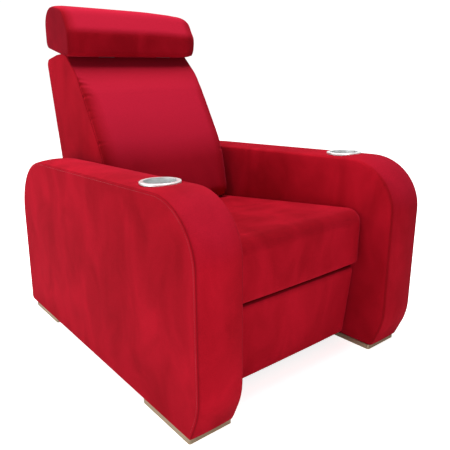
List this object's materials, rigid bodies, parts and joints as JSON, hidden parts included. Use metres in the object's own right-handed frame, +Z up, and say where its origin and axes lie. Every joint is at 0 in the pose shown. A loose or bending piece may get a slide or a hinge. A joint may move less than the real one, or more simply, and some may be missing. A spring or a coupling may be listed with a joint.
{
  "type": "cinema recliner seat",
  "caption": "Velvet cinema recliner with padded arms, cup holders, reclining backrest, tilting headrest and a linked power footrest.",
  "frame": {"origin": "on the floor under the middle of the seat's bounding box", "axes": "+Z up, the sitter faces -Y, the sitter's right arm is at -X"},
  "size_m": [0.828, 1.0941, 1.0896],
  "materials": {
    "velvet": "red velvet with a soft nap and sheen",
    "polished_steel": "polished stainless steel",
    "champagne_metal": "satin champagne anodised",
    "plywood": "raw plywood",
    "dark_steel": "black powder coat",
    "zinc_steel": "zinc plated",
    "black_plastic": "moulded, fine grain",
    "nylon": "natural nylon"
  },
  "bodies": {
    "base": {"arm_frame_right": "plywood", "arm_frame_left": "plywood", "arm_cover_right": "velvet", "arm_cover_left": "velvet", "cup_holder_right": "polished_steel", "cup_holder_left": "polished_steel", "foot_front_right": "champagne_metal", "foot_front_left": "champagne_metal", "foot_rear_right": "champagne_metal", "foot_rear_left": "champagne_metal", "foot_screws": "zinc_steel", "mechanism_plate_right": "dark_steel", "mechanism_plate_left": "dark_steel", "plate_bolts": "zinc_steel", "seat_support_bars": "dark_steel", "cross_tube_front": "dark_steel", "cross_tube_rear": "dark_steel", "back_pivot_pins": "zinc_steel", "seat_side_rails": "plywood", "seat_cross_rails": "plywood", "seat_springs": "zinc_steel", "seat_cushion": "velvet", "switch_plate": "black_plastic", "power_inlet": "black_plastic", "control_box": "black_plastic", "ottoman_motor": "black_plastic", "ottoman_rail": "zinc_steel", "back_motor": "black_plastic", "back_rail": "zinc_steel"},
    "backrest": {"back_shell": "velvet", "back_side_boards": "plywood", "back_cross_rails": "plywood", "back_springs": "zinc_steel", "back_cushion": "velvet", "back_hinge_arms": "dark_steel", "back_crank": "dark_steel", "head_hinge_lower": "dark_steel"},
    "headrest": {"head_hinge_upper": "zinc_steel", "head_board": "plywood", "headrest_cushion": "velvet"},
    "front_links": {"drive_tube": "dark_steel", "front_link_right": "zinc_steel", "front_link_left": "zinc_steel"},
    "rear_links": {"rear_link_right": "zinc_steel", "rear_link_left": "zinc_steel"},
    "reach_links": {"reach_link_right": "zinc_steel", "reach_link_left": "zinc_steel"},
    "tilt_links": {"tilt_link_right": "zinc_steel", "tilt_link_left": "zinc_steel"},
    "footrest": {"ottoman_bracket_right": "dark_steel", "ottoman_bracket_left": "dark_steel", "ottoman_board": "plywood", "ottoman_pad": "velvet"},
    "footrest_slider": {"ottoman_slider": "nylon"},
    "back_carriage": {"back_slider": "nylon"},
    "back_rocker": {"rocker_back": "black_plastic"},
    "footrest_rocker": {"rocker_footrest": "black_plastic"}
  },
  "joints": [
    {"name": "footrest_extend", "type": "hinge", "parent": "base", "child": "front_links", "pos_m": [0, -0.1115, 0.25], "axis": [-1, 0, 0], "range_deg": [0, 99]},
    {"name": "rear_link_turn", "type": "hinge", "parent": "base", "child": "rear_links", "pos_m": [0, -0.0165, 0.21], "axis": [-1, 0, 0], "range_deg": [0, 99.5]},
    {"name": "reach_link_turn", "type": "hinge", "parent": "front_links", "child": "reach_links", "pos_m": [0, -0.01559, 0.10415], "axis": [-1, 0, 0], "range_deg": [-101.5, 0]},
    {"name": "tilt_link_turn", "type": "hinge", "parent": "front_links", "child": "tilt_links", "pos_m": [0, 0.0095, 0.066], "axis": [-1, 0, 0], "range_deg": [-101.5, 0]},
    {"name": "footrest_tilt", "type": "hinge", "parent": "reach_links", "child": "footrest", "pos_m": [0, -0.3455, 0.25], "axis": [-1, 0, 0], "range_deg": [0, 93]},
    {"name": "footrest_carriage", "type": "slide", "parent": "base", "child": "footrest_slider", "axis": [0, -1, 0], "range_m": [0, 0.0915]},
    {"name": "back_recline", "type": "hinge", "parent": "base", "child": "backrest", "pos_m": [0, 0.2595, 0.325], "axis": [-1, 0, 0], "range_deg": [0, 40]},
    {"name": "recline_carriage", "type": "slide", "parent": "base", "child": "back_carriage", "axis": [0, -1, 0], "range_m": [0, 0.0482]},
    {"name": "headrest_tilt", "type": "hinge", "parent": "backrest", "child": "headrest", "pos_m": [0, 0.3315, 0.925], "axis": [1, 0, 0], "range_deg": [0, 30]},
    {"name": "back_rocker_press", "type": "hinge", "parent": "base", "child": "back_rocker", "pos_m": [-0.2855, -0.2105, 0.5225], "axis": [0, 0, 1], "range_deg": [-6, 6], "stiffness_Nm_per_rad": 0.05},
    {"name": "footrest_rocker_press", "type": "hinge", "parent": "base", "child": "footrest_rocker", "pos_m": [-0.2855, -0.2105, 0.4935], "axis": [0, 0, 1], "range_deg": [-6, 6], "stiffness_Nm_per_rad": 0.05}
  ],
  "couplings": [
    {"joint": "rear_link_turn", "follows": "footrest_extend", "ratio": 0.99876},
    {"joint": "reach_link_turn", "follows": "footrest_extend", "ratio": -1.0178},
    {"joint": "tilt_link_turn", "follows": "footrest_extend", "ratio": -1.016},
    {"joint": "footrest_tilt", "follows": "footrest_extend", "ratio": 0.93076},
    {"joint": "footrest_carriage", "follows": "footrest_extend", "m_per_rad": 0.05281},
    {"joint": "recline_carriage", "follows": "back_recline", "m_per_rad": 0.068587}
  ]
}
